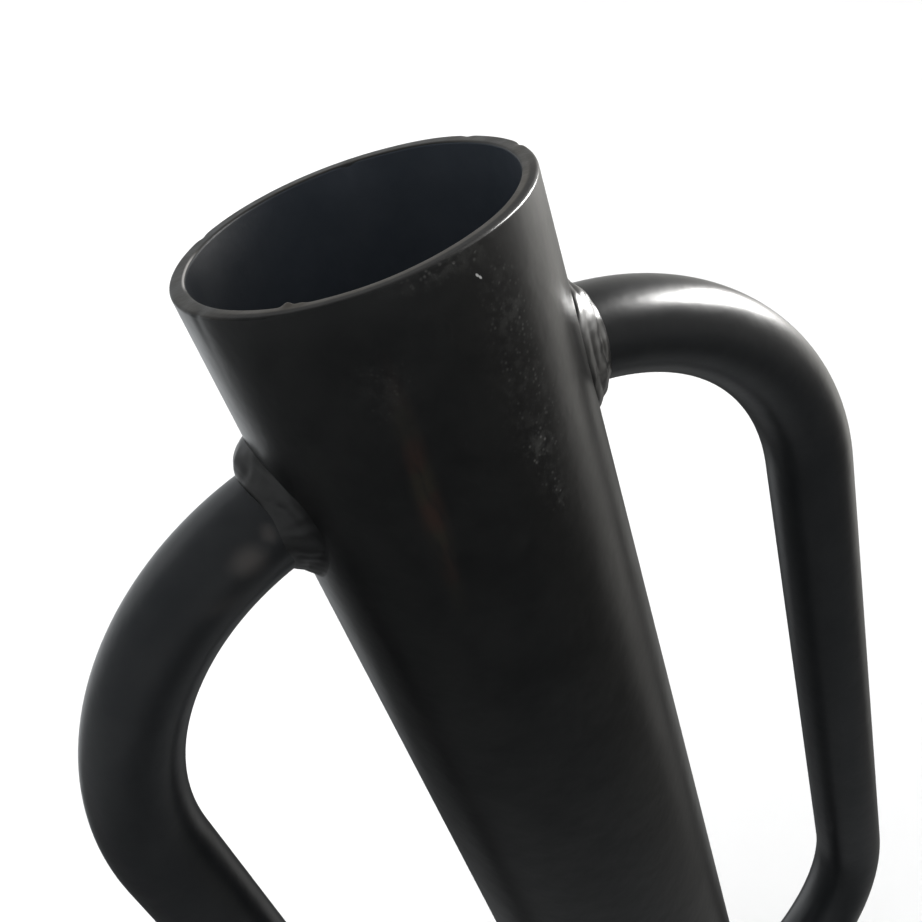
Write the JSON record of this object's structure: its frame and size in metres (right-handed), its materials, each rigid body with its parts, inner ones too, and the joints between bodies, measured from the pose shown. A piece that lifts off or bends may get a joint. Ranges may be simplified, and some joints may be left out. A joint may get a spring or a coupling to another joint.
{
  "type": "post driver",
  "caption": "Hand post driver: a heavy steel barrel, open at the mouth and closed by a strike plate at the other end, with a bent tube handle welded to each side.",
  "frame": {"origin": "centre of the closed end's base plane, on the barrel's axis", "axes": "+Z along the barrel from the closed end to the open mouth, +X through the grip of the right handle, +Y across the plane of the handles"},
  "size_m": [0.2658, 0.0888, 0.61],
  "materials": {
    "black_paint": "satin black enamel, lightly mottled",
    "painted_weld": "black enamel over a rippled weld bead",
    "struck_steel": "dark paint worn by the posts it has struck"
  },
  "bodies": {
    "root": {"barrel": "black_paint", "strike_plate": "struck_steel", "strike_plate_weld": "painted_weld", "handle_right": "black_paint", "handle_right_mouth_weld": "painted_weld", "handle_right_closed_end_weld": "painted_weld", "handle_left": "black_paint", "handle_left_mouth_weld": "painted_weld", "handle_left_closed_end_weld": "painted_weld"}
  },
  "joints": []
}
